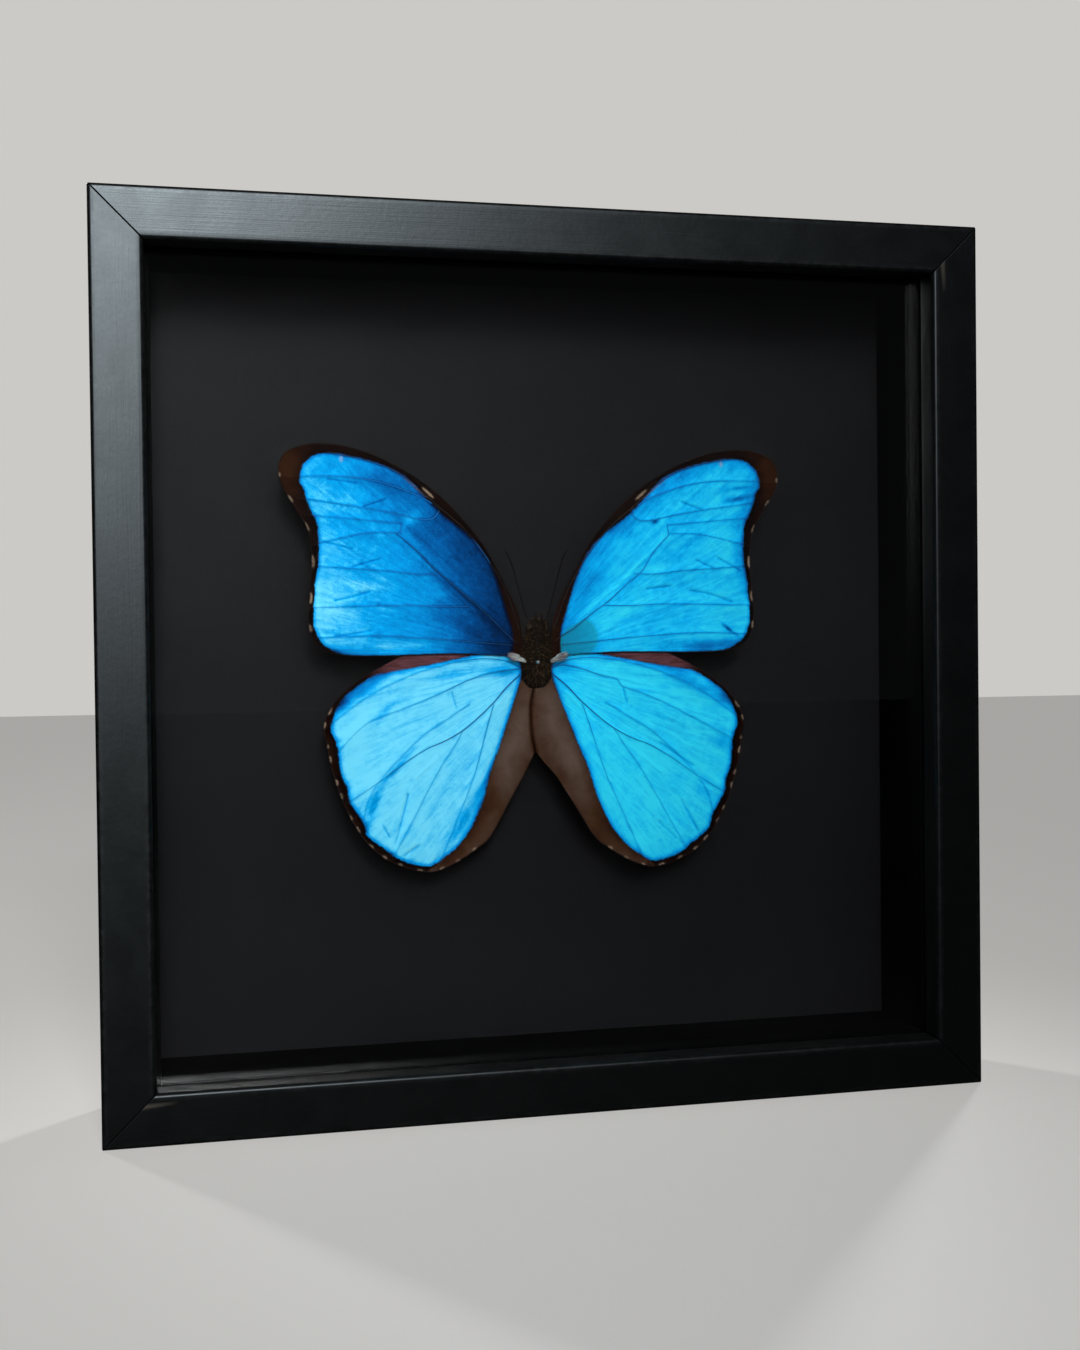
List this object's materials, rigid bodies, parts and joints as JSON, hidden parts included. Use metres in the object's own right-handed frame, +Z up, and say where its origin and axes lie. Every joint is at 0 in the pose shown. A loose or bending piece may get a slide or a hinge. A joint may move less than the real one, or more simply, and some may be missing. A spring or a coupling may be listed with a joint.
{
  "type": "framed butterfly specimen",
  "caption": "Square black glazed box frame with a spread iridescent blue butterfly pinned to a charcoal card, for a shelf or a wall.",
  "frame": {"origin": "middle of the underside of the bottom rail, half way between the front and the back", "axes": "+Z up, +X to the right as seen from the glazed front, +Y from the glazed front to the back"},
  "size_m": [0.25, 0.045, 0.25],
  "materials": {
    "frame_lacquer": "satin black lacquer with faint lengthwise grain",
    "glass": "clear float glass",
    "spacer_paper": "matte black paper-covered strip",
    "card": "matte charcoal card with a fine tooth",
    "hardboard": "raw brown hardboard",
    "steel": "plain zinc-plated steel",
    "body_fur": "dark brown hair and scales",
    "forewing_scales": "iridescent blue scales with a dark brown margin",
    "hindwing_scales": "iridescent light blue scales with brown folds and a dark margin",
    "antenna_horn": "dark dry horn",
    "pin_metal": "bright steel pin"
  },
  "bodies": {
    "root": {"frame_rail_bottom": "frame_lacquer", "frame_rail_top": "frame_lacquer", "frame_stile_left": "frame_lacquer", "frame_stile_right": "frame_lacquer", "glass_pane": "glass", "spacer_left": "spacer_paper", "spacer_right": "spacer_paper", "spacer_top": "spacer_paper", "spacer_bottom": "spacer_paper", "mount_board": "card", "back_panel": "hardboard", "wall_hanger": "steel", "butterfly_body": "body_fur", "forewing_left": "forewing_scales", "forewing_right": "forewing_scales", "hindwing_left": "hindwing_scales", "hindwing_right": "hindwing_scales", "antenna_left": "antenna_horn", "antenna_right": "antenna_horn", "insect_pin": "pin_metal", "back_point_1": "steel", "back_point_2": "steel", "back_point_3": "steel", "back_point_4": "steel", "back_point_5": "steel", "back_point_6": "steel", "back_point_7": "steel", "back_point_8": "steel"}
  },
  "joints": []
}
